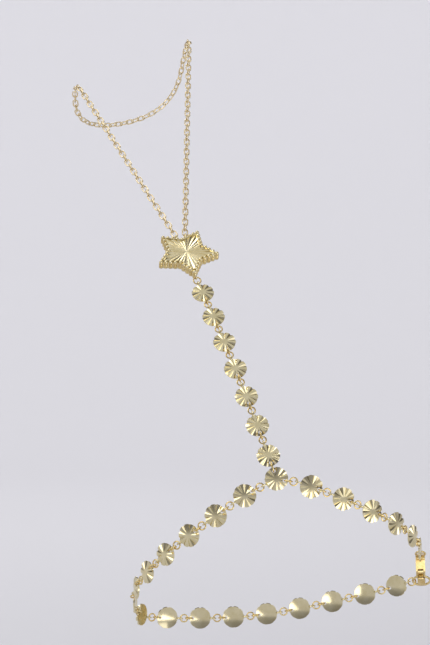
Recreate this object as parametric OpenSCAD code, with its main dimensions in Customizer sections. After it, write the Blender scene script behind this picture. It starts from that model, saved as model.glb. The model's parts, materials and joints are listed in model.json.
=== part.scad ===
// Hand chain bracelet: a wrist chain of fluted discs, a strand of the same discs up the
// back of the hand, a star, and a fine chain that loops round a finger.
// Millimetres. +Z runs up the forearm to the fingers, and -Y is the back of the hand.
// The origin is the middle of the wrist loop.

/* [Wrist loop] */
// Half the width of the wrist loop
wrist_half_w = 29.5; // [29.3:0.1:29.7]
// Depth of the loop from its middle to the back of the hand
front_depth = 20; // [19.8:0.1:20.2]
// Depth of the loop from its middle to the palm side
back_depth = 14.9; // [14.8:0.1:15]
// How far behind its middle the loop is widest
widest_y = 2.1; // [1.9:0.1:2.3]
// How square the palm side is: 2 is an ellipse, 4 nearly a rounded box
palm_square = 4; // [3.8:0.1:4]
// How far the palm side lies to the right of the back of the hand
side_shift = 1.7; // [1.5:0.1:1.9]
// How far the palm side hangs below the back of the hand
loop_drop = 32.4; // [32:0.1:32.6]
// How much higher the right side hangs than the left
loop_lean = 4.7; // [4.5:0.1:4.9]
// Height of the centre disc above the middle of the loop
front_z = 15; // [10:0.5:20]
// Distance between wrist discs along the loop
wrist_pitch = 7.1; // [7:0.02:7.2]
// Discs to the right of the centre disc, up to the clasp
right_discs = 6; // [6]
// Discs to the left of the centre disc, round the palm side
left_discs = 16; // [16]

/* [Strand] */
// Discs in the strand
strand_discs = 7; // [7]
// Distance between strand discs
strand_pitch = 6.7; // [6.6:0.05:6.9]
// Distance from the centre disc to the lowest strand disc
strand_first = 5; // [4.9:0.05:5.2]
// Distance from the top strand disc to the middle of the star
star_dist = 11.75; // [11.7:0.05:11.8]
// Slope of the strand away from the upright at the centre disc
low_tilt = 21; // [20.5:0.5:21.5]
// Slope of the strand away from the upright at the star
top_tilt = 41.5; // [41:0.5:42]
// Lean of the strand to the left at the centre disc
low_lean = 18.8; // [18.3:0.5:19.3]
// Lean of the strand to the left at the star
top_lean = 26; // [25.5:0.5:26.5]

/* [Discs] */
// Radius of a disc at its petal tips
disc_r = 2.3; // [2.25:0.01:2.35]
// Depth of the scallops in a disc's edge
scallop = 0.15; // [0.05:0.01:0.2]
// Thickness of a disc
disc_t = 0.35; // [0.3:0.01:0.4]
// Rise of a disc's middle above its edge
disc_dome = 0.25; // [0.15:0.01:0.3]
// Depth of the flutes at the edge
flute = 0.18; // [0.1:0.01:0.22]
// Petals round a disc
petals = 10; // [10]
// Distance of a disc's hole from its middle
hole_dist = 1.6; // [1.58:0.01:1.62]
// Radius of that hole
hole_r = 0.34; // [0.32:0.01:0.35]

/* [Rings] */
// Wire of the small rings
ring_wire = 0.3; // [0.26:0.01:0.3]
// Clear width of a wrist ring
wrist_ring = 1.24; // [1.22:0.01:1.26]
// Clear width of a strand ring
strand_ring = 1.1; // [1.06:0.01:1.14]
// Mean radius of the loop soldered to a disc's edge
loop_r = 0.6; // [0.58:0.01:0.62]
// Distance of that loop from the disc's middle
loop_dist = 2.7; // [2.66:0.01:2.74]
// How far that loop sits below the disc
loop_low = 0.35; // [0.3:0.01:0.4]

/* [Star] */
// Radius of the star at its tips
star_r = 6.85; // [6.75:0.05:6.95]
// Radius of the star at its notches
notch_r = 4; // [3.9:0.05:4.05]
// Turn of the star on its strand, clockwise from the front
star_turn = 4.5; // [4:0.5:5]
// Thickness of the star at its beaded edge
star_t = 2; // [1.6:0.1:2.2]
// Beads along each side of a tip
edge_beads = 4; // [4]
// How far the beads stand out from the wall
bead_out = 0.12; // [0.05:0.01:0.15]
// Depth of the rays in the face
ray_depth = 0.14; // [0.05:0.01:0.2]
// Distance of the two chain eyes from the star's middle
eye_along = 4.8; // [4.75:0.05:4.9]
// Half the distance between the two chain eyes
eye_across = 0.95; // [0.9:0.05:1]
// Height of the chain eyes above the star's middle plane
eye_up = 0.4; // [0.2:0.05:0.5]
// Mean radius of a chain eye
eye_ring_r = 0.5; // [0.5:0.01:0.52]

/* [Finger chain] */
// Links in the finger chain, an odd number
finger_links = 115; // [115]
// Wire of a finger link
link_wire = 0.3; // [0.28:0.01:0.32]
// Width of a finger link
link_w = 1.4; // [1.35:0.01:1.45]
// Turn at the left of the finger: place across the hand
web_left_x = -44.5; // [-45:0.5:-44]
// Its depth towards the palm
web_left_y = 46; // [45.5:0.5:46.5]
// Its height above the wrist
web_left_z = 101.5; // [101:0.5:102]
// Turn at the right of the finger: place across the hand
web_right_x = -18; // [-18.5:0.5:-17.5]
// Its depth towards the palm
web_right_y = 55; // [54.5:0.5:55.5]
// Its height above the wrist
web_right_z = 114; // [113.5:0.5:114.5]
// Left turn on the palm side: place across the hand
palm_left_x = -44; // [-44.5:0.5:-43.5]
// Its depth towards the palm
palm_left_y = 58; // [57.5:0.5:58.5]
// Its height above the wrist
palm_left_z = 90; // [89.5:0.5:90.5]
// Right turn on the palm side: place across the hand
palm_right_x = -22; // [-22.5:0.5:-21.5]
// Its depth towards the palm
palm_right_y = 70; // [69.5:0.5:70.5]
// Its height above the wrist
palm_right_z = 96; // [95.5:0.5:96.5]

/* [Clasp] */
// Turn of the clasp's hook outwards from the line of the loop
clasp_out = 14; // [13.5:0.5:14.5]
// Radius of the clasp's outer edge at its hook
hook_r = 2.6; // [2.58:0.01:2.62]
// Width of the hook's bar
hook_bar = 1; // [0.98:0.01:1.02]
// Thickness of the hook
hook_t = 1.6; // [1.5:0.05:1.7]
// Thickness of the clasp's body
clasp_t = 1.9; // [1.8:0.05:2]
// Radius of the lever's pin
pin_r = 0.3; // [0.28:0.01:0.32]
// Clearance round the pin
pin_gap = 0.05; // [0.04:0.01:0.06]
// Mean radius of the ring between the last right disc and the clasp
clasp_ring_r = 1; // [0.98:0.01:1.02]
// Wire of that ring
clasp_ring_wire = 0.35; // [0.32:0.01:0.35]
// Mean radius of the end ring that the clasp hooks
end_ring_r = 1.8; // [1.78:0.01:1.82]
// Wire of the end ring
end_ring_wire = 0.5; // [0.48:0.01:0.5]
// Clear width of the ring between the end ring and the last left disc
end_link_w = 1.34; // [1.32:0.01:1.36]

/* [Hidden] */

gold = "#D9C38A";
pale = "#CFC49A";
warm = "#D8B868";
link_gap = 0.15;
round_n = 32;
big_round_n = 48;
hole_n = 24;
wire_n = 16;

// Small vector helpers
function unit(v) = v / norm(v);
function square_to(v, t) = unit(v - (v * t) * t);
function mix(a, b, f) = a + (b - a) * f;

// Running length along a list of points, and the point at a given length
function running(p) = [for (i = 0, d = 0; i < len(p);
    i = i + 1, d = d + (i < len(p) ? norm(p[i] - p[i - 1]) : 0)) d];
function by_length(p) = let (d = running(p))
    [for (c = [0:2]) [for (i = [0:len(p) - 1]) [d[i], p[i][c]]]];
function at(table, s) = [for (c = [0:2]) lookup(s, table[c])];

// The wrist loop seen from above: an ellipse at the front and a squarer palm side,
// highest at the front, counted by its angle
peak_round = 0.04;
function depth(a) = cos(a) > 0 ? front_depth + widest_y : back_depth - widest_y;
function square_out(a) = cos(a) > 0 ? 1
    : pow(pow(abs(sin(a)), palm_square) + pow(abs(cos(a)), palm_square), -1 / palm_square);
function fall(a) = sqrt(pow(sin(a / 2), 2) + pow(peak_round, 2)) - peak_round;
function wrist_point(a) = [
    wrist_half_w * square_out(a) * sin(a) + side_shift * (1 - cos(a)) / 2,
    widest_y - depth(a) * square_out(a) * cos(a),
    front_z - loop_drop * fall(a) + loop_lean * sin(a)];
wrist_run = running([for (a = [0:2:360]) wrist_point(a)]);
wrist_len = wrist_run[180];
wrist_angles = [for (i = [0:180]) [wrist_run[i], 2 * i]];
function wrist_angle(s) = lookup(s < 0 ? s + wrist_len : s, wrist_angles);

// A place is [origin, direction along the chain, outward normal]
function wrist_place(s) = let (
    a = wrist_angle(s),
    t = unit(wrist_point(a + 1) - wrist_point(a - 1)))
    [wrist_point(a), t, unit([t.y, -t.x, 0])];

// The strand rises from the centre disc, ever flatter towards the star
strand_len = strand_first + (strand_discs - 1) * strand_pitch + star_dist;
function strand_dir(f) = let (
    tilt = mix(low_tilt, top_tilt, f),
    lean = mix(low_lean, top_lean, f))
    [-cos(tilt) * sin(lean), sin(tilt), cos(tilt) * cos(lean)];
strand_steps = 56;
strand_points = [for (i = 0, p = wrist_point(0); i <= strand_steps;
    p = p + strand_dir((i + 0.5) / strand_steps) * strand_len / strand_steps, i = i + 1) p];
strand_table = by_length(strand_points);
function strand_place(s) = let (t = -strand_dir(s / strand_len))
    [at(strand_table, s), t, unit([0, t.z, -t.y])];

// Places of every disc and of the star, counted from the centre disc
centre_place = wrist_place(0);
right_places = [for (k = [1:right_discs]) wrist_place(k * wrist_pitch)];
left_places = [for (k = [1:left_discs]) wrist_place(wrist_len - k * wrist_pitch)];
strand_places = [for (k = [0:strand_discs - 1])
    strand_place(strand_first + (strand_discs - 1 - k) * strand_pitch)];

// The star turns about its loop, which stays at the end of the strand
star_loop_dist = star_r + 0.35;
function turned(v) = [v.x * cos(star_turn) + v.z * sin(star_turn), v.y,
    v.z * cos(star_turn) - v.x * sin(star_turn)];
star_loop = strand_place(strand_len)[0] + strand_place(strand_len)[1] * star_loop_dist;
star_dir = turned(strand_place(strand_len)[1]);
star_place = [star_loop - star_dir * star_loop_dist, star_dir, turned(strand_place(strand_len)[2])];

// The hole and the soldered loop of a disc at a place
function hole_at(p) = p[0] + p[1] * hole_dist;
function loop_at(p) = p[0] - p[1] * loop_dist - p[2] * loop_low;

// The centre disc turns its fittings to its three neighbours
function turn_to(p, q) = let (d = q - p[0]) atan2(d * cross(p[2], p[1]), d * p[1]);
centre_right = turn_to(centre_place, right_places[0][0]);
centre_left = turn_to(centre_place, left_places[0][0]);
centre_top = turn_to(centre_place, strand_places[strand_discs - 1][0]);
function centre_dir(a) = centre_place[1] * cos(a) + cross(centre_place[2], centre_place[1]) * sin(a);
centre_hole_right = centre_place[0] + centre_dir(centre_right) * hole_dist;
centre_hole_top = centre_place[0] + centre_dir(centre_top) * hole_dist;
centre_loop_left = centre_place[0] + centre_dir(centre_left) * loop_dist - centre_place[2] * loop_low;

// The star's two eyes for the finger chain
star_across = cross(star_place[2], star_place[1]);
function star_eye(side) = star_place[0] - star_place[1] * eye_along
    + star_across * side * eye_across + star_place[2] * eye_up;

// The finger chain's path: straight branches, rounded turns and the palm side
near_turn = 0.8;
path_ends = [star_eye(-1), star_eye(1)];
web_left = [web_left_x, web_left_y, web_left_z];
web_right = [web_right_x, web_right_y, web_right_z];
palm_left = [palm_left_x, palm_left_y, palm_left_z];
palm_right = [palm_right_x, palm_right_y, palm_right_z];
path_marks = [path_ends[0], mix(path_ends[0], web_left, near_turn), web_left, palm_left,
    palm_right, web_right, mix(path_ends[1], web_right, near_turn), path_ends[1]];
turn_steps = 16;
function turn_point(i, f) = let (
    a = i == 1 ? path_marks[0] : mix(path_marks[i - 1], path_marks[i], 0.5),
    b = path_marks[i],
    c = i == len(path_marks) - 2 ? path_marks[i + 1] : mix(path_marks[i], path_marks[i + 1], 0.5))
    mix(mix(a, b, f), mix(b, c, f), f);
path_points = concat([for (i = [1:len(path_marks) - 2]) for (j = [0:turn_steps - 1])
    turn_point(i, j / turn_steps)], [path_ends[1]]);
path_table = by_length(path_points);
path_len = path_table[0][len(path_points) - 1][0];
path_middle = [-30, 38, 86];

// Joints lie where two links cross, so a link runs from one joint to the next
eye_to_joint = eye_ring_r - (link_wire + link_gap) / 2;
link_pitch = (path_len - 2 * eye_to_joint) / finger_links;
link_len = link_pitch + 2 * link_wire + link_gap;
function joint(k) = at(path_table, eye_to_joint + k * link_pitch);
half_links = floor(finger_links / 2);

// The clasp lies along a chord of the wrist loop, with its x towards the hook.
// Its eye is at x 0, its solid base ends at base_x, and its hook bends round hook_mid.
eye_r = 1.05;
eye_hole_r = 0.65;
eye_t = 0.5;
base_x = 4.2;
hook_mid = 6.8;
hook_inner_r = hook_r - hook_bar;
hook_mean_r = hook_r - hook_bar / 2;
hook_chamfer = 0.32;
ring_slack = 0.2;
last_hole = right_discs * wrist_pitch + hole_dist;
clasp_eye_s = last_hole + 2 * clasp_ring_r + 0.05;
end_ring_x = hook_mid + hook_inner_r - ring_slack - end_ring_wire / 2 + end_ring_r;
clasp_eye = wrist_place(clasp_eye_s);
clasp_chord = unit(wrist_place(clasp_eye_s + end_ring_x)[0] - clasp_eye[0]);
clasp_dir = clasp_chord * cos(clasp_out) + square_to(clasp_eye[2], clasp_chord) * sin(clasp_out);
clasp_place = [clasp_eye[0], clasp_dir, square_to(clasp_eye[2], clasp_dir)];
end_ring_at = clasp_eye[0] + clasp_dir * end_ring_x;
// The lever's pin in the clasp's own x and y, the slot that it turns in, and the gate:
// the part of the hook's lower bar that swings, from gate_x to a sloped tip
pivot = [3.1, -1.5];
slot_t = 1.2;
lever_t = 1.04;
lever_r = 0.85;
gate_t = 1.5;
gate_x = 4.5;
gate_inset = 0.05;
gate_low = -hook_r + gate_inset;
gate_top = -hook_inner_r - 2 * gate_inset;
tip_x = 7.53;
tip_slope = 0.17;
tip_slack = 0.13;
function far_face(y) = tip_x + (y + hook_r) * tip_slope;

module at_place(p) {
    b = cross(p[2], p[1]);
    multmatrix([
        [p[1].x, b.x, p[2].x, p[0].x],
        [p[1].y, b.y, p[2].y, p[0].y],
        [p[1].z, b.z, p[2].z, p[0].z],
        [0, 0, 0, 1]]) children();
}

// A round ring that lies flat in x and y
module ring(mean_r, wire) {
    rotate_extrude($fn = round_n) translate([mean_r, 0]) circle(d = wire, $fn = wire_n);
}

// A ring that stands along x and z
module upright_ring(mean_r, wire) {
    rotate([90, 0, 0]) ring(mean_r, wire);
}

// Two rings from a disc's hole to the next disc's soldered loop: one upright, one flat
module ring_pair(hole, loop, n, clear) {
    u = unit(loop - hole);
    slack = (2 * clear + loop_r - norm(loop - hole)) / 2;
    first = hole + u * (clear + ring_wire) / 2;
    at_place([first, u, square_to(n, u)]) upright_ring((clear + ring_wire) / 2, ring_wire);
    at_place([first + u * (clear - slack), u, square_to(n, u)]) ring((clear + ring_wire) / 2, ring_wire);
}

// One flat ring between two soldered loops
module single_ring(a, b, n) {
    at_place([mix(a, b, 0.5), unit(b - a), square_to(n, unit(b - a))])
        ring((wrist_ring + ring_wire) / 2, ring_wire);
}

// Fluted plate with a low dome: rows of points from the top middle to the bottom middle.
// Its drilled part is centred on the chain's own plane.
module fluted_plate() {
    n = 2 * petals;
    mid_f = 0.5;
    function ridge(i) = i % 2 == 0;
    function rim(i) = ridge(i) ? disc_r : disc_r - scallop;
    function top_z(i, f) = disc_dome * (1 - f * f) - (ridge(i) ? 0 : flute * f * f);
    function row(f, low) = [for (i = [0:n - 1])
        [f * rim(i) * cos(i * 180 / petals), f * rim(i) * sin(i * 180 / petals), top_z(i, f) - low]];
    points = concat([[0, 0, disc_dome]], row(mid_f, 0), row(1, 0), row(1, disc_t),
        row(mid_f, disc_t), [[0, 0, disc_dome - disc_t]]);
    function id(r, i) = 1 + r * n + i % n;
    faces = concat(
        [for (i = [0:n - 1]) [0, id(0, i + 1), id(0, i)]],
        [for (r = [0:2]) for (i = [0:n - 1]) [id(r, i), id(r, i + 1), id(r + 1, i)]],
        [for (r = [0:2]) for (i = [0:n - 1]) [id(r, i + 1), id(r + 1, i + 1), id(r + 1, i)]],
        [for (i = [0:n - 1]) [id(3, i), id(3, i + 1), len(points) - 1]]);
    translate([0, 0, disc_t / 2 - top_z(0, hole_dist / disc_r)]) polyhedron(points, faces, convexity = 4);
}

// A disc with its drilled holes and soldered loops, each at an angle round its edge
module fluted_disc(holes, loops) {
    difference() {
        union() {
            fluted_plate();
            for (a = loops) rotate([0, 0, a]) translate([loop_dist, 0, -loop_low])
                upright_ring(loop_r, ring_wire);
        }
        for (a = holes) rotate([0, 0, a]) translate([hole_dist, 0, -1])
            cylinder(r = hole_r, h = 2, $fn = hole_n);
    }
}

module chain_disc(p) {
    color(pale) at_place(p) fluted_disc([0], [180]);
}

module centre_disc() {
    color(pale) at_place(centre_place) fluted_disc([centre_right, centre_top], [centre_left]);
}

// The ring that joins the strand's lowest disc to the centre disc
module centre_ring() {
    a = hole_at(strand_places[strand_discs - 1]);
    b = centre_hole_top;
    u = unit(b - a);
    out = centre_place[2] + strand_places[strand_discs - 1][2];
    color(warm) at_place([mix(a, b, 0.5), u, square_to(out, u)])
        upright_ring(norm(b - a) / 2, ring_wire);
}

module star_ring() {
    color(warm) single_ring(star_loop, loop_at(strand_places[0]), star_place[2]);
}

// Star outline: four points a bead along ten straight sides
side_points = 4 * edge_beads;
star_n = 10 * side_points;
function star_corner(k) = (k % 2 == 0 ? star_r : notch_r) * [cos(k * 36), sin(k * 36)];
function star_base(i) = let (k = floor(i / side_points), f = (i % side_points) / side_points)
    mix(star_corner(k), star_corner(k + 1), f);
function bead_wave(i) = cos(i * 90);
function star_edge(i) = let (p = star_base(i)) p + unit(p) * bead_out * bead_wave(i);

// Star solid: fluted wall, a row of beads on its rim and a rayed face that rises to the middle
module star_body() {
    half = star_t / 2;
    // Rows from the back to the face: share of the outline, height, share of the bead wave
    rows = [[0.97, -half, 0], [1, -half + 0.15, 0], [1, half - 0.25, 0], [0.95, half, 0.12],
        [0.89, half - 0.25, 0.04], [0.86, half - 0.3, ray_depth / 2], [0.4, half, ray_depth / 4]];
    share = 0;
    height = 1;
    wave = 2;
    function point(r, i) = let (e = star_edge(i) * rows[r][share])
        [e.x, e.y, rows[r][height] + rows[r][wave] * bead_wave(i)];
    last_row = len(rows) - 1;
    points = concat([[0, 0, -half]],
        [for (r = [0:last_row]) for (i = [0:star_n - 1]) point(r, i)],
        [[0, 0, half + 0.15]]);
    function id(r, i) = 1 + r * star_n + i % star_n;
    faces = concat(
        [for (i = [0:star_n - 1]) [0, id(0, i), id(0, i + 1)]],
        [for (r = [0:last_row - 1]) for (i = [0:star_n - 1])
            [id(r, i), id(r + 1, i), id(r, i + 1)]],
        [for (r = [0:last_row - 1]) for (i = [0:star_n - 1])
            [id(r, i + 1), id(r + 1, i), id(r + 1, i + 1)]],
        [for (i = [0:star_n - 1]) [id(last_row, i), len(points) - 1, id(last_row, i + 1)]]);
    polyhedron(points, faces, convexity = 6);
}

// The frame of a link between two joints, rolled about its own length
function link_place(a, b, roll) = let (
    u = unit(b - a),
    out = square_to(mix(a, b, 0.5) - path_middle, u),
    side = cross(out, u))
    [mix(a, b, 0.5), u, out * cos(roll) + side * sin(roll)];

module star() {
    color(gold) {
        at_place(star_place) star_body();
        at_place([star_loop, star_place[1], star_place[2]]) upright_ring(loop_r, ring_wire);
        for (side = [-1, 1]) {
            first = side < 0 ? joint(0) : joint(finger_links);
            p = link_place(star_eye(side), first, -45 * side);
            at_place([star_eye(side), p[1], p[2]]) ring(eye_ring_r, link_wire);
        }
    }
}

// Half an oval link along x: a half ring and the near halves of the two straight sides
module half_link() {
    r = (link_w - link_wire) / 2;
    h = (link_len - link_w) / 2;
    translate([h, 0, 0]) rotate([0, 0, -90]) rotate_extrude(angle = 180, $fn = round_n)
        translate([r, 0]) circle(d = link_wire, $fn = wire_n);
    for (y = [-r, r]) translate([0, y, 0]) rotate([0, 90, 0])
        cylinder(d = link_wire, h = h, $fn = wire_n);
}

module oval_link() {
    half_link();
    rotate([0, 0, 180]) half_link();
}

module finger_chain(from, to) {
    color(warm) for (k = [from:to])
        at_place(link_place(joint(k), joint(k + 1), k % 2 == 0 ? -45 : 45)) oval_link();
}

module strand_rings() {
    color(warm) for (k = [0:strand_discs - 2])
        ring_pair(hole_at(strand_places[k]), loop_at(strand_places[k + 1]),
            strand_places[k][2] + strand_places[k + 1][2], strand_ring);
}

module right_rings() {
    color(warm) {
        ring_pair(centre_hole_right, loop_at(right_places[0]),
            centre_place[2] + right_places[0][2], wrist_ring);
        for (k = [0:right_discs - 2])
            ring_pair(hole_at(right_places[k]), loop_at(right_places[k + 1]),
                right_places[k][2] + right_places[k + 1][2], wrist_ring);
    }
}

module left_rings() {
    color(warm) {
        ring_pair(hole_at(left_places[0]), centre_loop_left,
            centre_place[2] + left_places[0][2], wrist_ring);
        for (k = [1:left_discs - 1])
            ring_pair(hole_at(left_places[k]), loop_at(left_places[k - 1]),
                left_places[k][2] + left_places[k - 1][2], wrist_ring);
    }
}

// The ring between the last right disc and the clasp's eye
module clasp_ring() {
    a = hole_at(right_places[right_discs - 1]);
    u = unit(clasp_eye[0] - a);
    color(warm) at_place([a + u * clasp_ring_r, u, square_to(clasp_eye[2], u)])
        upright_ring(clasp_ring_r, clasp_ring_wire);
}

// Chamfered section of the hook's bar
module bar_section() {
    w = hook_bar / 2;
    t = hook_t / 2;
    c = hook_chamfer;
    polygon([
        [w, -t + c], [w, t - c], [w - c, t], [-w + c, t],
        [-w, t - c], [-w, -t + c], [-w + c, -t], [w - c, -t]]);
}

// Flat outline in the clasp's own plane, given a thickness
module slab(outline, t) {
    translate([0, 0, -t / 2]) linear_extrude(t) polygon(outline);
}

// Gap in the hook that the lever closes, with its far face sloped like the lever's tip
module gate_gap() {
    low = -hook_r - 0.6;
    top = -hook_inner_r + 0.1;
    slab([[4, low], [far_face(low), low], [far_face(top), top], [4, top]], 4);
}

module clasp_body() {
    // Outline of the base from the eye to the bars: x and half the width
    base = [[0.5, 0.6], [1.9, 2], [3.1, hook_r], [base_x, hook_r]];
    outline = concat(base, [for (i = [len(base) - 1:-1:0]) [base[i].x, -base[i].y]]);
    color(gold) at_place(clasp_place) {
        difference() {
            union() {
                translate([0, 0, -eye_t / 2]) cylinder(r = eye_r, h = eye_t, $fn = round_n);
                slab(outline, clasp_t);
                for (s = [-1, 1]) translate([base_x, s * hook_mean_r, 0]) rotate([90, 0, 90])
                    linear_extrude(hook_mid - base_x) bar_section();
                translate([hook_mid, 0, 0]) rotate([0, 0, -90])
                    rotate_extrude(angle = 180, $fn = big_round_n) translate([hook_mean_r, 0]) bar_section();
            }
            translate([0, 0, -1]) cylinder(r = eye_hole_r, h = 2, $fn = round_n);
            translate([4.9, 0, -2]) cylinder(r = hook_inner_r, h = 4, $fn = big_round_n);
            gate_gap();
            translate([1.8, -3.2, -slot_t / 2]) cube([2.7, 2.8, slot_t]);
        }
        translate([pivot.x, pivot.y, -clasp_t / 2]) cylinder(r = pin_r, h = clasp_t, $fn = hole_n);
    }
}

// Lever: an arm with a thumb bump that turns on the pin, and the gate that it carries
module clasp_lever() {
    arm_top = -0.85;
    arm_x = 3.65;
    bump = [3.7, -2.9];
    bump_r = 0.5;
    color(gold) at_place(clasp_place) difference() {
        union() {
            translate([pivot.x, pivot.y, -lever_t / 2]) cylinder(r = lever_r, h = lever_t, $fn = round_n);
            slab([[2.75, -2.27], [3.9, gate_low], [4.9, gate_low], [4.9, -1.75], [arm_x, arm_top]], lever_t);
            slab([[gate_x, gate_low], [far_face(gate_low) - tip_slack, gate_low],
                [far_face(gate_top) - tip_slack, gate_top], [gate_x, gate_top]], gate_t);
            translate([bump.x, bump.y, -lever_t / 2]) cylinder(r = bump_r, h = lever_t, $fn = hole_n);
        }
        translate([pivot.x, pivot.y, -2]) cylinder(r = pin_r + pin_gap, h = 4, $fn = hole_n);
    }
}

module end_ring() {
    color(warm) at_place([end_ring_at, clasp_place[1], clasp_place[2]])
        upright_ring(end_ring_r, end_ring_wire);
}

// The ring between the end ring and the last left disc's loop lies across both
module end_link() {
    last = left_places[left_discs - 1];
    b = loop_at(last);
    u = unit(b - end_ring_at);
    n = square_to(clasp_place[1], u) + square_to(last[2], u);
    reach = end_ring_r - end_ring_wire / 2 + end_link_w / 2;
    slack = (reach + end_link_w / 2 - ring_wire / 2 + loop_r - norm(b - end_ring_at)) / 2;
    color(warm) at_place([end_ring_at + u * (reach - slack), u, unit(n)])
        ring((end_link_w + ring_wire) / 2, ring_wire);
}

star();
star_ring();
centre_disc();
centre_ring();
for (k = [1:strand_discs])
    chain_disc(strand_places[k - 1]);
for (k = [1:right_discs])
    chain_disc(right_places[k - 1]);
for (k = [1:left_discs])
    chain_disc(left_places[k - 1]);
strand_rings();
right_rings();
left_rings();
finger_chain(0, half_links - 1);  // finger_chain_left
finger_chain(half_links, finger_links - 1);  // finger_chain_right
clasp_ring();
clasp_body();
clasp_lever();
end_ring();
end_link();
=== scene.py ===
# Hand chain bracelet: fine shapes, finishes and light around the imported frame.
# Pieces are modelled in millimetres and shrunk to metres as they are placed.
import json
from math import asin, atan2, cos, hypot, pi, radians, sin, tan
import bmesh
import bpy
import numpy as np
from mathutils import Matrix, Vector


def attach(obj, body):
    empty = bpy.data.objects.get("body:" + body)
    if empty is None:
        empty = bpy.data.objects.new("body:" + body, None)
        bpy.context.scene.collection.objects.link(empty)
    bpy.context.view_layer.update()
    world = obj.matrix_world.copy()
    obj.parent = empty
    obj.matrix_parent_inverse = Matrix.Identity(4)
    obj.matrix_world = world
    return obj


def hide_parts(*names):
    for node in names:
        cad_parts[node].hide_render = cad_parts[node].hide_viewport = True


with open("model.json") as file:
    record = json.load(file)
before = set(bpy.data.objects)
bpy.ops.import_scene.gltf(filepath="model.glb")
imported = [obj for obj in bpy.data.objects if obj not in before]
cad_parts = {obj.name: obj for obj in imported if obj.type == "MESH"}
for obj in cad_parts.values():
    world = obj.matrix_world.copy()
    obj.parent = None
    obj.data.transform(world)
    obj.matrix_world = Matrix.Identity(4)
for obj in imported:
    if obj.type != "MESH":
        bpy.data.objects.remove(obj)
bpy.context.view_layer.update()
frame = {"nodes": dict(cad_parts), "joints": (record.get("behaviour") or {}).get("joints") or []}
mm = 0.001
chainBody = "chain"
leverBody = "lever"
nearly = 0.001  # points closer than this count as one place
cutGap = 0.002  # a cut can leave points this far apart, and they are merged after it
roundSmooth = 60  # degrees: wire, beads and the paper's sweep are smooth all over


# Selecting, as by hand
def clearSelection():
    if bpy.context.object and bpy.context.object.mode != "OBJECT":
        bpy.ops.object.mode_set(mode="OBJECT")
    bpy.ops.object.select_all(action="DESELECT")


def selectOnly(obj):
    clearSelection()
    obj.select_set(True)
    bpy.context.view_layer.objects.active = obj


def startEdit(obj):
    selectOnly(obj)
    bpy.ops.object.mode_set(mode="EDIT")
    bpy.ops.mesh.select_all(action="DESELECT")


def endEdit():
    bpy.ops.object.mode_set(mode="OBJECT")


def pickParts(obj, kind, test):
    bpy.ops.mesh.select_all(action="DESELECT")
    bpy.ops.mesh.select_mode(type=kind)
    mesh = bmesh.from_edit_mesh(obj.data)
    group = {"VERT": mesh.verts, "EDGE": mesh.edges, "FACE": mesh.faces}[kind]
    for part in group:
        part.select = test(part)
    mesh.select_flush_mode()
    bmesh.update_edit_mesh(obj.data)


# Names what was just added and bakes its turn and size into its mesh
def settle(name):
    obj = bpy.context.object
    obj.name = name
    bpy.ops.object.transform_apply(location=True, rotation=True, scale=True)
    return obj


def joinAll(parts, name):
    selectOnly(parts[0])
    for part in parts[1:]:
        part.select_set(True)
    if len(parts) > 1:
        bpy.ops.object.join()
    parts[0].name = name
    return parts[0]


def applyModifier(obj, kind, **settings):
    selectOnly(obj)
    modifier = obj.modifiers.new(kind.title(), kind)
    for key, value in settings.items():
        setattr(modifier, key, value)
    bpy.ops.object.modifier_apply(modifier=modifier.name)


def cutAway(obj, cutter, operation="DIFFERENCE"):
    applyModifier(obj, "BOOLEAN", operation=operation, solver="EXACT", object=cutter)
    bpy.data.objects.remove(cutter, do_unlink=True)
    startEdit(obj)
    bpy.ops.mesh.select_all(action="SELECT")
    bpy.ops.mesh.remove_doubles(threshold=cutGap)
    bpy.ops.mesh.dissolve_degenerate(threshold=cutGap)
    endEdit()


def smoothBelow(obj, angle):
    selectOnly(obj)
    bpy.ops.object.shade_smooth_by_angle(angle=radians(angle), keep_sharp_edges=False)


# Starting shapes
def addRod(name, sides, radius, depth, location=(0, 0, 0), rotation=(0, 0, 0)):
    clearSelection()
    bpy.ops.mesh.primitive_cylinder_add(
        vertices=sides, radius=radius, depth=depth, location=location, rotation=rotation)
    return settle(name)


def addBall(name, around, rings, radius, location=(0, 0, 0), rotation=(0, 0, 0)):
    clearSelection()
    bpy.ops.mesh.primitive_uv_sphere_add(
        segments=around, ring_count=rings, radius=radius, location=location, rotation=rotation)
    return settle(name)


def addRing(name, meanRadius, wire, around=36, section=12, location=(0, 0, 0), rotation=(0, 0, 0)):
    clearSelection()
    bpy.ops.mesh.primitive_torus_add(
        major_radius=meanRadius, minor_radius=wire / 2, major_segments=around,
        minor_segments=section, location=location, rotation=rotation)
    return settle(name)


def onCircle(radius, angle):
    return (radius * cos(angle), radius * sin(angle), 0)


def placeCopy(model, name, place):
    copy = model.copy()
    copy.data = model.data.copy()
    copy.name = name
    bpy.context.collection.objects.link(copy)
    copy.data.transform(place)
    return copy


def standsFor(piece, body, material, node):
    piece.data.materials.clear()
    piece.data.materials.append(material)
    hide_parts(node)
    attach(piece, body)


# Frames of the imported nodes, read from their meshes
def placeMatrix(origin, along, outward):
    z = outward.normalized()
    x = (along - along.dot(z) * z).normalized()
    turn = Matrix((x, z.cross(x), z)).transposed().to_4x4()
    return Matrix.Translation(origin) @ turn @ Matrix.Scale(mm, 4)


def mergedMesh(node):
    mesh = bmesh.new()
    mesh.from_mesh(frame["nodes"][node].data)
    bmesh.ops.remove_doubles(mesh, verts=mesh.verts, dist=mm / 10000)
    return mesh


# Loose rings and links of a node, in the order of its faces
def looseGroups(mesh):
    waiting = set(mesh.faces)
    groups = []
    for first in mesh.faces:
        if first not in waiting:
            continue
        waiting.discard(first)
        group = [first]
        for face in group:  # the group grows by each face's neighbours
            for side in face.edges:
                for other in side.link_faces:
                    if other in waiting:
                        waiting.discard(other)
                        group.append(other)
        groups.append(group)
    return groups


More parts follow.
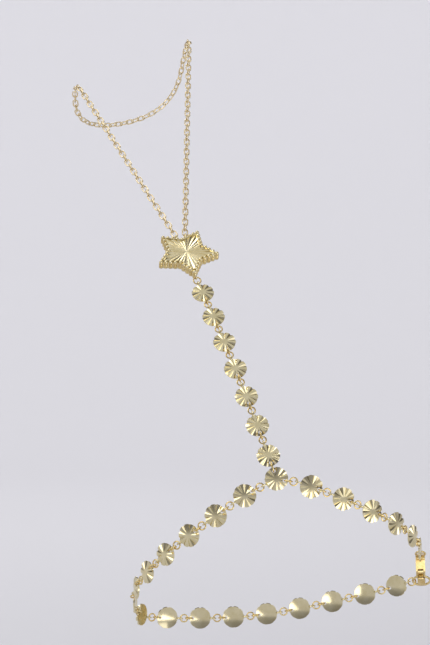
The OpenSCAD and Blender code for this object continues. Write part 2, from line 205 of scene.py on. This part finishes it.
# Their middles, long axes and flat axes, weighed by face area
def looseFrames(node):
    mesh = mergedMesh(node)
    frames = []
    for group in looseGroups(mesh):
        area = np.array([face.calc_area() for face in group])
        middles = np.array([face.calc_center_median() for face in group])
        centre = area @ middles / area.sum()
        spread = (middles - centre).T @ ((middles - centre) * area[:, None])
        axes = np.linalg.eigh(spread)[1]
        points = np.array([v.co for face in group for v in face.verts]) - centre
        frames.append({
            "centre": Vector(centre),
            "along": Vector(axes[:, 2]),
            "flat": Vector(axes[:, 0]),
            "reach": float(np.abs(points @ axes[:, 2]).max()) / mm,
            "wire": float(np.ptp(points @ axes[:, 0])) / mm,
        })
    mesh.free()
    return frames


# Materials
def toLinear(hexColour):
    channels = [int(hexColour[i:i + 2], 16) / 255 for i in (1, 3, 5)]
    linear = [c / 12.92 if c <= 0.04045 else ((c + 0.055) / 1.055) ** 2.4 for c in channels]
    return linear + [1.0]


def addNode(tree, kind, settings=None, links=None):
    node = tree.nodes.new(kind)
    for key, value in (settings or {}).items():
        if isinstance(key, str) and hasattr(node, key):
            setattr(node, key, value)
        else:
            node.inputs[key].default_value = value
    for key, source in (links or {}).items():
        tree.links.new(source, node.inputs[key])
    return node


# What all the gold finishes share: the part of the noise that is used, its detail,
# and how deep a buffing mark goes
plate = {"noiseLow": 0.3, "noiseHigh": 0.7, "driftDetail": 2.0, "buffDetail": 4.0, "markDepth": 0.01}


# Gold plate over polished brass: its tint drifts slowly with the plate's thickness,
# and fine buffing marks make the gloss uneven
def platedGold(name, look):
    material = bpy.data.materials.new(name)
    material.use_nodes = True
    tree = material.node_tree
    tree.nodes.clear()
    place = addNode(tree, "ShaderNodeTexCoord")
    drift = addNode(tree, "ShaderNodeTexNoise",
                    {"Scale": 1 / (look["driftSize"] * mm), "Detail": plate["driftDetail"]},
                    {"Vector": place.outputs["Object"]})
    tint = addNode(tree, "ShaderNodeValToRGB", links={"Fac": drift.outputs["Fac"]})
    tint.color_ramp.elements[0].position = plate["noiseLow"]
    tint.color_ramp.elements[0].color = toLinear(look["deep"])
    tint.color_ramp.elements[1].position = plate["noiseHigh"]
    tint.color_ramp.elements[1].color = toLinear(look["pale"])
    buff = addNode(tree, "ShaderNodeTexNoise",
                   {"Scale": 1 / (look["buffSize"] * mm), "Detail": plate["buffDetail"]},
                   {"Vector": place.outputs["Object"]})
    gloss = addNode(tree, "ShaderNodeMapRange",
                    {"From Min": plate["noiseLow"], "From Max": plate["noiseHigh"],
                     "To Min": look["gloss"][0], "To Max": look["gloss"][1]},
                    {"Value": buff.outputs["Fac"]})
    marks = addNode(tree, "ShaderNodeBump",
                    {"Strength": look["marks"], "Distance": plate["markDepth"] * mm},
                    {"Height": buff.outputs["Fac"]})
    shader = addNode(tree, "ShaderNodeBsdfPrincipled", {"Metallic": 1.0},
                     {"Base Color": tint.outputs["Color"], "Roughness": gloss.outputs["Result"],
                      "Normal": marks.outputs["Normal"]})
    addNode(tree, "ShaderNodeOutputMaterial", links={"Surface": shader.outputs["BSDF"]})
    return material


goldLooks = {
    # pale champagne gold, cut with a diamond tool: mirror facets
    "disc": {"pale": "#E9DEB8", "deep": "#DCCFA3", "driftSize": 1.5, "buffSize": 0.12,
             "gloss": (0.10, 0.20), "marks": 0.15},
    # the cast star has the same plate, a touch creamier
    "star": {"pale": "#F1E6C0", "deep": "#E4D3A0", "driftSize": 2.0, "buffSize": 0.15,
             "gloss": (0.12, 0.22), "marks": 0.15},
    # a deeper copy of the star's gold for its wall: painted shade where the gold mirrors itself between
    # the columns
    "wall": {"pale": "#E6D29A", "deep": "#D2B778", "driftSize": 1.5, "buffSize": 0.15,
             "gloss": (0.16, 0.28), "marks": 0.2},
    # drawn wire takes the plate warmer and looks like yellow gold
    "wire": {"pale": "#EAD69E", "deep": "#DCC07E", "driftSize": 1.0, "buffSize": 0.1,
             "gloss": (0.12, 0.22), "marks": 0.1},
    # the fine links read as a soft, pale gold
    "link": {"pale": "#F1E2BE", "deep": "#E3CFA4", "driftSize": 1.2, "buffSize": 0.1,
             "gloss": (0.16, 0.28), "marks": 0.1},
    # stamped clasp, tumbled and not buffed: bronze gold with broader shine
    "clasp": {"pale": "#EBD49C", "deep": "#D8B975", "driftSize": 1.5, "buffSize": 0.15,
              "gloss": (0.18, 0.30), "marks": 0.2},
}
discGold = platedGold("diamondCutGoldPlate", goldLooks["disc"])
starGold = platedGold("castGoldPlate", goldLooks["star"])
wallGoldPaintedShade = platedGold("castWallGoldPaintedShade", goldLooks["wall"])
wireGold = platedGold("drawnWireGoldPlate", goldLooks["wire"])
linkGold = platedGold("fineLinkGoldPlate", goldLooks["link"])
claspGold = platedGold("tumbledGoldPlate", goldLooks["clasp"])
print("materials made")


# Fluted disc, cut like the real one: a domed plate, V grooves from the middle to the rim,
# a notch in the rim at each groove, drilled holes and soldered wire loops
disc = {
    "radius": 2.3,
    "dome": 0.25,
    "thickness": 0.35,
    "petals": 10,
    "grooveStart": 0.5,
    "grooveDepth": 0.26,
    "grooveAngle": 116,
    "grooveBar": 0.5,  # the cutting bar, from its middle to its edge
    "barOverrun": 1.2,
    "notchDepth": 0.12,
    "notchRadius": 0.36,
    "notchSides": 20,
    "holeDistance": 1.6,
    "holeRadius": 0.34,
    "holeSides": 24,
    "cutterDepth": 3,
    "loopDistance": 2.7,
    "loopBelow": 0.646,
    "loopRadius": 0.6,
    "wire": 0.3,
    "around": 80,
    "ringsInDome": 8,
    "smooth": 20,
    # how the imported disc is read
    "thicknessSlack": 0.005,
    "ridgeSlack": 0.02,
    "loopMargin": 0.1,  # past the rim only the loop is left
}


def addLoop(name, radius, location=(0, 0, 0), rotation=(0, 0, 0)):
    loop = addRing(name, radius, disc["wire"], location=location, rotation=rotation)
    smoothBelow(loop, roundSmooth)
    return loop


def domedPlate():
    ball = (disc["radius"] ** 2 + disc["dome"] ** 2) / (2 * disc["dome"])
    cap = asin(disc["radius"] / ball)
    domed = addBall("plateModel", disc["around"], round(pi / cap * disc["ringsInDome"]), ball,
                    location=(0, 0, -ball))
    # turned half a facet, so that no groove runs along an edge of the plate
    domed.data.transform(Matrix.Rotation(pi / disc["around"], 4, "Z"))
    startEdit(domed)
    bpy.ops.mesh.select_all(action="SELECT")
    bpy.ops.mesh.bisect(plane_co=(0, 0, -disc["dome"]), plane_no=(0, 0, 1), clear_inner=True)
    endEdit()
    applyModifier(domed, "SOLIDIFY", thickness=disc["thickness"], offset=-1)
    return domed


# A square bar on its edge, widened to the groove's angle and tipped along the groove's floor
def grooveBar(angle):
    half = disc["grooveBar"]
    start = Vector((disc["grooveStart"], 0, 0))
    end = Vector((disc["radius"], 0, -disc["dome"] - disc["grooveDepth"]))
    slope = atan2(start.z - end.z, end.x - start.x)
    middle = (start + end) / 2 + Vector((sin(slope), 0, cos(slope))) * half
    bar = addRod("grooveCutter", 4, half, (end - start).length + disc["barOverrun"],
                 rotation=(0, pi / 2 + slope, 0))
    bar.data.transform(Matrix.Scale(tan(radians(disc["grooveAngle"] / 2)), 4, (0, 1, 0)))
    bar.data.transform(Matrix.Rotation(angle, 4, "Z") @ Matrix.Translation(middle))
    return bar


def rimNotch(angle):
    reach = disc["radius"] + disc["notchRadius"] - disc["notchDepth"]
    return addRod("notchCutter", disc["notchSides"], disc["notchRadius"], disc["cutterDepth"],
                  location=onCircle(reach, angle))


def drill(angle):
    return addRod("drill", disc["holeSides"], disc["holeRadius"], disc["cutterDepth"],
                  location=onCircle(disc["holeDistance"], angle))


def flutedDisc(name, holes, loops):
    fluted = domedPlate()
    for petal in range(disc["petals"]):
        angle = (petal + 0.5) * 2 * pi / disc["petals"]
        cutAway(fluted, grooveBar(angle))
        cutAway(fluted, rimNotch(angle))
    for angle in holes:
        cutAway(fluted, drill(angle))
    smoothBelow(fluted, disc["smooth"])
    parts = [fluted]
    for angle in loops:
        loop = addLoop("loopModel", disc["loopRadius"], rotation=(pi / 2, 0, 0))
        loop.data.transform(Matrix.Rotation(angle, 4, "Z")
                            @ Matrix.Translation((disc["loopDistance"], 0, -disc["loopBelow"])))
        parts.append(loop)
    return joinAll(parts, name)


# A packed disc's two middles, above and below, are where the edges of all its petals meet
def discAxis(mesh):
    middles = [v.co.copy() for v in mesh.verts if len(v.link_edges) == 2 * disc["petals"]]
    mean = sum((v.co for v in mesh.verts), Vector()) / len(mesh.verts)
    pairs = [(a, b) for a in middles for b in middles
             if abs((a - b).length - disc["thickness"] * mm) < disc["thicknessSlack"] * mm
             and (mean - a).dot(b - a) > 0]
    top, low = max(pairs, key=lambda pair: (mean - pair[0]).dot(pair[1] - pair[0]))
    return top, (top - low).normalized()


# Where a disc sits: its top middle, the way away from its loop and its outward side
def discPlace(node):
    mesh = mergedMesh(node)
    top, outward = discAxis(mesh)
    loopPoints = []
    for vert in mesh.verts:
        arm = vert.co - top
        flat = arm - arm.dot(outward) * outward
        if flat.length > (disc["radius"] + disc["loopMargin"]) * mm:
            loopPoints.append(flat)
    along = -sum(loopPoints, Vector())
    mesh.free()
    return top, along.normalized(), outward


# The nodes of one row of discs, by number
def discRow(start):
    row = (node for node in frame["nodes"] if node.startswith(start))
    return sorted(row, key=lambda node: int(node[len(start):]))


strandDiscs = discRow("strand_disc_")
rightDiscs = discRow("right_disc_")
leftDiscs = discRow("left_disc_")
discPlaces = {node: discPlace(node) for node in strandDiscs + rightDiscs + leftDiscs}

discModel = flutedDisc("discModel", [0], [pi])
for node, (top, along, outward) in discPlaces.items():
    piece = placeCopy(discModel, node + "_fluted", placeMatrix(top, along, outward))
    standsFor(piece, chainBody, discGold, node)
print("discs placed:", len(discPlaces))


# The centre disc has a petal's ridge along its frame, and turns its holes and its loop to its neighbours
def centreDiscFrame():
    mesh = mergedMesh("centre_disc")
    top, outward = discAxis(mesh)
    ridgeLength = hypot(disc["radius"], disc["dome"]) * mm
    arms = [vert.co - top for vert in mesh.verts]
    ridges = [arm for arm in arms if abs(arm.length - ridgeLength) < disc["ridgeSlack"] * mm]
    mesh.free()
    return placeMatrix(top, max(ridges, key=lambda arm: arm.x), outward)


def angleOn(place, node):
    local = place.inverted() @ discPlaces[node][0]
    return atan2(local.y, local.x)


def addCentreDisc():
    place = centreDiscFrame()
    holes = [angleOn(place, rightDiscs[0]), angleOn(place, strandDiscs[-1])]
    loops = [angleOn(place, leftDiscs[0])]
    centre = flutedDisc("centre_disc_fluted", holes, loops)
    centre.data.transform(place)
    return centre


standsFor(addCentreDisc(), chainBody, discGold, "centre_disc")
print("centre disc placed")


# Jump ring: round wire whose cut ends are closed on each other, with a fine joint where they meet
jumpRing = {"around": 36, "section": 12, "jointWaist": 0.88}
ringModels = {}


def addJumpRing(reach, wire):
    middle = reach - wire / 2
    model = addRing("ringModel", middle, wire, jumpRing["around"], jumpRing["section"])
    startEdit(model)
    pickParts(model, "VERT", lambda v: v.co.x > 0 and abs(v.co.y) < nearly)
    bpy.ops.transform.resize(value=[jumpRing["jointWaist"]] * 3, center_override=(middle, 0, 0))
    endEdit()
    smoothBelow(model, roundSmooth)
    return model


# Every loose ring of a node, as a copy of the ring of its size, to a hundredth of a millimetre
def ringsOf(node, name):
    rings = []
    for spot in looseFrames(node):
        size = (round(spot["reach"], 2), round(spot["wire"], 2))
        if size not in ringModels:
            ringModels[size] = addJumpRing(*size)
        rings.append(placeCopy(ringModels[size], "ring",
                               placeMatrix(spot["centre"], spot["along"], spot["flat"])))
    return joinAll(rings, name)


for node in ["strand_rings", "right_rings", "left_rings", "star_ring", "centre_ring", "clasp_ring",
             "end_ring", "end_link"]:
    standsFor(ringsOf(node, node + "_wire"), chainBody, wireGold, node)
print("rings placed, sizes:", sorted(ringModels))


# Oval finger link: a torus pulled apart across its middle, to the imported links' length
link = {"width": 1.4, "wire": 0.3, "around": 24, "section": 8}
linkSpots = {node: looseFrames(node) for node in ["finger_chain_left", "finger_chain_right"]}


def ovalLink():
    reaches = [spot["reach"] for spot in linkSpots["finger_chain_left"]]
    pull = sum(reaches) / len(reaches) - link["width"] / 2
    model = addRing("linkModel", (link["width"] - link["wire"]) / 2, link["wire"], link["around"],
                    link["section"], rotation=(0, 0, pi / link["around"]))
    startEdit(model)
    for side in (1, -1):
        pickParts(model, "VERT", lambda v: v.co.x * side > nearly)
        bpy.ops.transform.translate(value=(side * pull, 0, 0))
    endEdit()
    smoothBelow(model, roundSmooth)
    return model


linkModel = ovalLink()
for node, spots in linkSpots.items():
    links = [placeCopy(linkModel, "link", placeMatrix(spot["centre"], spot["along"], spot["flat"]))
             for spot in spots]
    standsFor(joinAll(links, node + "_links"), chainBody, linkGold, node)
print("finger chain placed")


# Star: base with a raised rim, forty columns and beads round its edge, and a flat face of cut rays
star = {
    "points": 5,
    "tip": 6.85,
    "notch": 4.0,
    "back": -1.0,
    "ledge": 0.6,
    "baseShare": 0.965,  # shares of the whole outline
    "beadShare": 0.93,
    "rimShare": 0.865,
    "faceShare": 0.83,
    "faceLap": 0.002,  # lets the face bite into the rim
    "beadsPerSide": 4,
    "rays": 30,
    "column": 0.42,
    "columnEdge": 0.09,
    "columnLift": 0.02,
    "columnSides": 16,
    "waist": 0.05,
    "bead": 0.37,
    "beadHeight": 0.64,
    "beadAround": 18,
    "beadRings": 12,
    "rim": 0.9,
    "well": 0.5,
    "face": 0.82,
    "faceFoot": 0.4,
    "faceRise": 0.05,
    "raySlope": 20,
    "trimHeight": 4,
    "crown": 1.15,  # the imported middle, above the star's own zero
    "loopDistance": 7.2,
    "loopMargin": 0.25,  # past the tips only the loop is left
    "eyeAlong": 4.8,
    "eyeAcross": 0.95,
    "eyeHeight": 0.4,
    "eyeRadius": 0.5,
    "smooth": 5,
    "columnSmooth": 50,
}
starStep = pi / star["points"]  # from a tip to the notch beside it


def starCorner(k):
    reach = star["tip"] if k % 2 == 0 else star["notch"]
    return Vector(onCircle(reach, k * starStep))


def starOutline(name, share):
    clearSelection()
    # half a step puts a corner on the way to the strand
    bpy.ops.mesh.primitive_circle_add(vertices=2 * star["points"], radius=star["tip"] * share,
                                      fill_type="NGON", rotation=(0, 0, starStep / 2))
    outline = settle(name)
    startEdit(outline)
    pickParts(outline, "VERT", lambda v: round(atan2(v.co.y, v.co.x) / starStep) % 2 == 1)
    pull = star["notch"] / star["tip"]
    bpy.ops.transform.resize(value=(pull, pull, 1), center_override=(0, 0, 0))
    pickParts(outline, "FACE", lambda face: True)
    return outline


def drawIn(share, height):
    bpy.ops.mesh.extrude_region_move()
    bpy.ops.transform.resize(value=(share, share, 1), center_override=(0, 0, height))


def raiseBy(step):
    bpy.ops.mesh.extrude_region_move(TRANSFORM_OT_translate={"value": (0, 0, step)})


def faceOut():
    bpy.ops.mesh.select_all(action="SELECT")
    bpy.ops.mesh.normals_make_consistent(inside=False)
    endEdit()


def addStarBase():
    base = starOutline("starBase", star["baseShare"])
    bpy.ops.transform.translate(value=(0, 0, star["back"]))
    # wall, ledge for the beads, thin raised rim, and the well that holds the face
    raiseBy(star["ledge"] - star["back"])
    drawIn(star["rimShare"] / star["baseShare"], star["ledge"])
    raiseBy(star["rim"] - star["ledge"])
    drawIn(star["faceShare"] / star["rimShare"], star["rim"])
    raiseBy(star["well"] - star["rim"])
    faceOut()
    smoothBelow(base, star["smooth"])
    return base


# The face is cut as a jeweller cuts it: even V rays from the middle, trimmed to the star
def addStarFace():
    rayStep = pi / star["rays"]
    depth = star["tip"] * rayStep * tan(radians(star["raySlope"]))
    foot = star["faceFoot"]
    face = addRod("starFace", 2 * star["rays"], star["tip"], star["face"] - foot,
                  location=(0, 0, (star["face"] + foot) / 2))

    def isTop(side):
        return side.normal.z > 0.9

    def isMiddle(v):
        return hypot(v.co.x, v.co.y) < nearly

    def isRayFloor(v):
        return v.co.z > star["well"] and round(atan2(v.co.y, v.co.x) / rayStep) % 2 == 1

    startEdit(face)
    pickParts(face, "FACE", isTop)
    bpy.ops.mesh.poke()
    pickParts(face, "VERT", isMiddle)
    bpy.ops.transform.translate(value=(0, 0, star["faceRise"]))
    pickParts(face, "VERT", isRayFloor)
    bpy.ops.transform.translate(value=(0, 0, -depth))
    endEdit()
    trim = starOutline("starTrim", star["faceShare"] + star["faceLap"])
    raiseBy(star["trimHeight"])
    faceOut()
    cutAway(face, trim, "INTERSECT")
    smoothBelow(face, star["smooth"])
    return face


def edgeSpots():
    for k in range(2 * star["points"]):
        for step in range(star["beadsPerSide"]):
            share = step / star["beadsPerSide"]
            yield starCorner(k).lerp(starCorner(k + 1), share) * star["beadShare"]


# A column is turned like a baluster: a round foot, a waist and a round head
def columnModel():
    full, slim, edge = star["column"], star["column"] - star["columnEdge"], star["columnEdge"]
    low, waist, high = star["back"] + star["columnLift"], star["waist"], star["beadHeight"]
    profile = [(low, slim), (low + edge, full), (waist - edge, full), (waist, slim),
               (waist + edge, full), (high - edge, full), (high, slim)]
    clearSelection()
    bpy.ops.mesh.primitive_circle_add(vertices=star["columnSides"], radius=slim, fill_type="NGON",
                                      location=(0, 0, low))
    column = settle("columnModel")
    startEdit(column)
    pickParts(column, "FACE", lambda face: True)
    for (height, radius), (nextHeight, nextRadius) in zip(profile, profile[1:]):
        raiseBy(nextHeight - height)
        pull = nextRadius / radius
        bpy.ops.transform.resize(value=(pull, pull, 1), center_override=(0, 0, nextHeight))
    faceOut()
    smoothBelow(column, star["columnSmooth"])
    return column


def beadModel():
    bead = addBall("beadModel", star["beadAround"], star["beadRings"], star["bead"],
                   location=(0, 0, star["beadHeight"]))
    smoothBelow(bead, roundSmooth)
    return bead


# One copy of a model at every place along the star's edge
def roundTheEdge(model, name):
    copies = [placeCopy(model, name, Matrix.Translation(spot)) for spot in edgeSpots()]
    bpy.data.objects.remove(model)
    return copies


# The star's frame: its rays meet in its middle, and its loop lies on the way to the strand
def starFrame():
    mesh = mergedMesh("star")
    middle = max(mesh.verts, key=lambda v: len(v.link_edges))
    outward = sum((face.normal * face.calc_area() for face in middle.link_faces), Vector()).normalized()
    top = middle.co.copy()
    arms = [v.co - top for v in mesh.verts]
    flats = [arm - arm.dot(outward) * outward for arm in arms]
    loopReach = (star["tip"] + star["loopMargin"]) * mm
    along = sum((flat for flat in flats if flat.length > loopReach), Vector())
    mesh.free()
    return placeMatrix(top - outward * star["crown"] * mm, along, outward)


# An eye for one branch of the finger chain, turned to the branch's first link
def addEye(place, side, node):
    eye = place @ Vector((-star["eyeAlong"], side * star["eyeAcross"], star["eyeHeight"]))
    neighbour = min(linkSpots[node], key=lambda spot: (spot["centre"] - eye).length)
    toLink = neighbour["centre"] - eye
    eyeRing = addLoop("eyeModel", star["eyeRadius"])
    eyeRing.data.transform(placeMatrix(eye, toLink, toLink.cross(neighbour["flat"])))
    return eyeRing


def addStar():
    place = starFrame()
    parts = [addStarBase(), addStarFace()] + roundTheEdge(beadModel(), "bead")
    parts.append(addLoop("strandLoop", disc["loopRadius"], location=(star["loopDistance"], 0, 0),
                         rotation=(pi / 2, 0, 0)))
    body = joinAll(parts, "star_beaded")
    wall = joinAll(roundTheEdge(columnModel(), "column"), "star_wall")
    for piece in (body, wall):
        piece.data.transform(place)
    branches = [(-1, "finger_chain_left"), (1, "finger_chain_right")]
    eyes = [addEye(place, side, node) for side, node in branches]
    return joinAll([body] + eyes, "star_beaded"), wall


starPiece, starWall = addStar()
standsFor(starPiece, chainBody, starGold, "star")
# the star's wall takes the deeper copy of the star's gold: painted shade between its columns
standsFor(starWall, chainBody, wallGoldPaintedShade, "star")
print("star placed")


# Clasp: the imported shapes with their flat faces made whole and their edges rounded
clasp = {
    "edge": 0.07,
    "edgeSteps": 2,
    "edgeAngle": 35,
    "flatAngle": 0.5,
    "halfThickness": 0.95,
    "rivetSink": 0.1,
    "rivetHole": 0.42,
    "rivetSides": 28,
    "rivetHead": 0.3,
    "headBelow": 0.28,
    "headAround": 20,
    "headRings": 10,
    "smooth": 50,
}


def roundedCopy(node, name):
    obj = frame["nodes"][node].copy()
    obj.data = frame["nodes"][node].data.copy()
    for key in list(obj.keys()):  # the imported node's own marks
        del obj[key]
    obj.parent = None
    obj.name = name
    bpy.context.collection.objects.link(obj)
    obj.data.transform(Matrix.Scale(1 / mm, 4))
    startEdit(obj)
    bpy.ops.mesh.select_all(action="SELECT")
    bpy.ops.mesh.remove_doubles(threshold=nearly)
    bpy.ops.mesh.dissolve_limited(angle_limit=radians(clasp["flatAngle"]))
    endEdit()
    applyModifier(obj, "BEVEL", width=clasp["edge"], segments=clasp["edgeSteps"], limit_method="ANGLE",
                  angle_limit=radians(clasp["edgeAngle"]))
    return obj


# Rounded edges shade softly while the flat sides stay flat
def shadeRounded(obj):
    smoothBelow(obj, clasp["smooth"])
    applyModifier(obj, "WEIGHTED_NORMAL", keep_sharp=True)


# A rivet head on each side of the pin, in a shallow round sink
def addClaspBody():
    body = roundedCopy("clasp_body", "clasp_body_rounded")
    hinge = frame["joints"][0]
    pin, axis = Vector(hinge["pos_m"]) / mm, Vector(hinge["axis"])
    heads = []
    for side in (-1, 1):
        face = pin + axis * side * clasp["halfThickness"]
        turn = (axis * side).to_track_quat("Z", "Y").to_euler()
        cutAway(body, addRod("rivetSink", clasp["rivetSides"], clasp["rivetHole"], 2 * clasp["rivetSink"],
                             location=face, rotation=turn))
        head = addBall("rivetHead", clasp["headAround"], clasp["headRings"], clasp["rivetHead"],
                       location=face - axis * side * clasp["headBelow"], rotation=turn)
        smoothBelow(head, roundSmooth)
        heads.append(head)
    shadeRounded(body)
    whole = joinAll([body] + heads, "clasp_body_rounded")
    whole.data.transform(Matrix.Scale(mm, 4))
    return whole


def addClaspLever():
    lever = roundedCopy("clasp_lever", "clasp_lever_rounded")
    shadeRounded(lever)
    lever.data.transform(Matrix.Scale(mm, 4))
    return lever


standsFor(addClaspBody(), chainBody, claspGold, "clasp_body")
standsFor(addClaspLever(), leverBody, claspGold, "clasp_lever")
print("clasp placed")

for model in [discModel, linkModel, *ringModels.values()]:
    bpy.data.objects.remove(model)


# Studio: a pale floor that sweeps up all round, in metres
studio = {
    "floorHeight": -0.034,
    "floorRadius": 1.0,
    "floorSides": 96,
    "wallHeight": 0.46,
    "sweep": 0.4,
    "sweepSteps": 12,
    "paper": "#E3E2E6",
    # the paper's darker grey on the camera's side is painted shade, so the metal reflects darker paper
    # there
    "cameraSidePaintedShade": "#AFAFB4",
    "paperRoughness": 0.95,
    "paleSide": (0.5, 0.87, 0.0),  # the way in which the paper turns paler
    "darkestAt": -0.9,
    "palestAt": -0.35,
    "air": "#6D6D72",
    "airStrength": 1.0,
}


def addSweep():
    clearSelection()
    bpy.ops.mesh.primitive_circle_add(vertices=studio["floorSides"], radius=studio["floorRadius"],
                                      fill_type="NGON", location=(0, 0, studio["floorHeight"]))
    sweep = settle("paperSweep")
    startEdit(sweep)
    pickParts(sweep, "EDGE", lambda edge: True)
    bpy.ops.mesh.extrude_edges_move(TRANSFORM_OT_translate={"value": (0, 0, studio["wallHeight"])})
    corner = studio["floorHeight"] + nearly
    pickParts(sweep, "EDGE", lambda edge: all(v.co.z < corner for v in edge.verts))
    bpy.ops.mesh.bevel(offset=studio["sweep"], segments=studio["sweepSteps"], affect="EDGES")
    endEdit()
    smoothBelow(sweep, roundSmooth)
    return sweep


# Matt background paper without shine, with painted shade: a tone darker towards the camera's side and its
# left
def paper():
    material = bpy.data.materials.new("mattPaperPaintedShade")
    material.use_nodes = True
    tree = material.node_tree
    tree.nodes.clear()
    place = addNode(tree, "ShaderNodeTexCoord")
    sides = addNode(tree, "ShaderNodeVectorMath", {"operation": "DOT_PRODUCT", 1: studio["paleSide"]},
                    {0: place.outputs["Object"]})
    shade = addNode(tree, "ShaderNodeMapRange",
                    {"From Min": studio["darkestAt"], "From Max": studio["palestAt"]},
                    {"Value": sides.outputs["Value"]})
    tone = addNode(tree, "ShaderNodeValToRGB", links={"Fac": shade.outputs["Result"]})
    tone.color_ramp.elements[0].color = toLinear(studio["cameraSidePaintedShade"])
    tone.color_ramp.elements[1].color = toLinear(studio["paper"])
    shader = addNode(tree, "ShaderNodeBsdfPrincipled", {"Roughness": studio["paperRoughness"]},
                     {"Base Color": tone.outputs["Color"]})
    addNode(tree, "ShaderNodeOutputMaterial", links={"Surface": shader.outputs["BSDF"]})
    return material


sweep = addSweep()
sweep.data.materials.append(paper())


# Soft panels, in metres and watts: the top one fills, the left one is the key, the right one
# and the floor card lift the shaded sides, and the back one lights the paper
chainMiddle = (0.0, 0.0, 0.04)
panels = {
    "topPanel": {"place": (0.0, -0.1, 0.85), "aim": chainMiddle, "size": (0.8, 1.8), "watts": 2.3},
    "leftPanel": {"place": (-0.58, -0.27, 0.56), "aim": chainMiddle, "size": (0.9, 0.5), "watts": 3.0},
    "rightPanel": {"place": (0.42, -0.3, 0.1), "aim": chainMiddle, "size": (0.4, 0.2), "watts": 0.24},
    "floorCard": {"place": (0.08, -0.1, -0.033), "aim": (0.08, -0.1, 1.0), "size": (0.12, 0.14),
                  "watts": 0.1},
    "backPanel": {"place": (0.0, 0.3, 0.75), "aim": (0.0, 1.0, -0.03), "size": (1.4, 0.3), "watts": 4.2},
}


def addPanel(name, look):
    clearSelection()
    bpy.ops.object.light_add(type="AREA", location=look["place"])
    panel = bpy.context.object
    panel.name = name
    panel.data.shape = "RECTANGLE"
    panel.data.size, panel.data.size_y = look["size"]
    panel.data.energy = look["watts"]
    panel.visible_camera = False
    facing = Vector(look["aim"]) - Vector(look["place"])
    panel.rotation_euler = facing.to_track_quat("-Z", "Y").to_euler()


for name, look in panels.items():
    addPanel(name, look)

world = bpy.data.worlds.new("studioAir")
bpy.context.scene.world = world
world.use_nodes = True
air = world.node_tree.nodes["Background"]
air.inputs["Color"].default_value = toLinear(studio["air"])
air.inputs["Strength"].default_value = studio["airStrength"]

# Camera with the photo's long lens, level and looking along +Y
view = {
    "place": (-0.01197, -0.400, 0.04545),
    "focalPixels": 1950,
    "longSidePixels": 645,
    "sensor": 36.0,
    "nearest": 0.01,
}
clearSelection()
bpy.ops.object.camera_add(location=view["place"], rotation=(pi / 2, 0, 0))
camera = bpy.context.object
camera.data.sensor_width = view["sensor"]
camera.data.lens = view["focalPixels"] / view["longSidePixels"] * view["sensor"]
camera.data.clip_start = view["nearest"]
bpy.context.scene.camera = camera
bpy.context.scene.view_settings.view_transform = "Standard"
print("studio set")
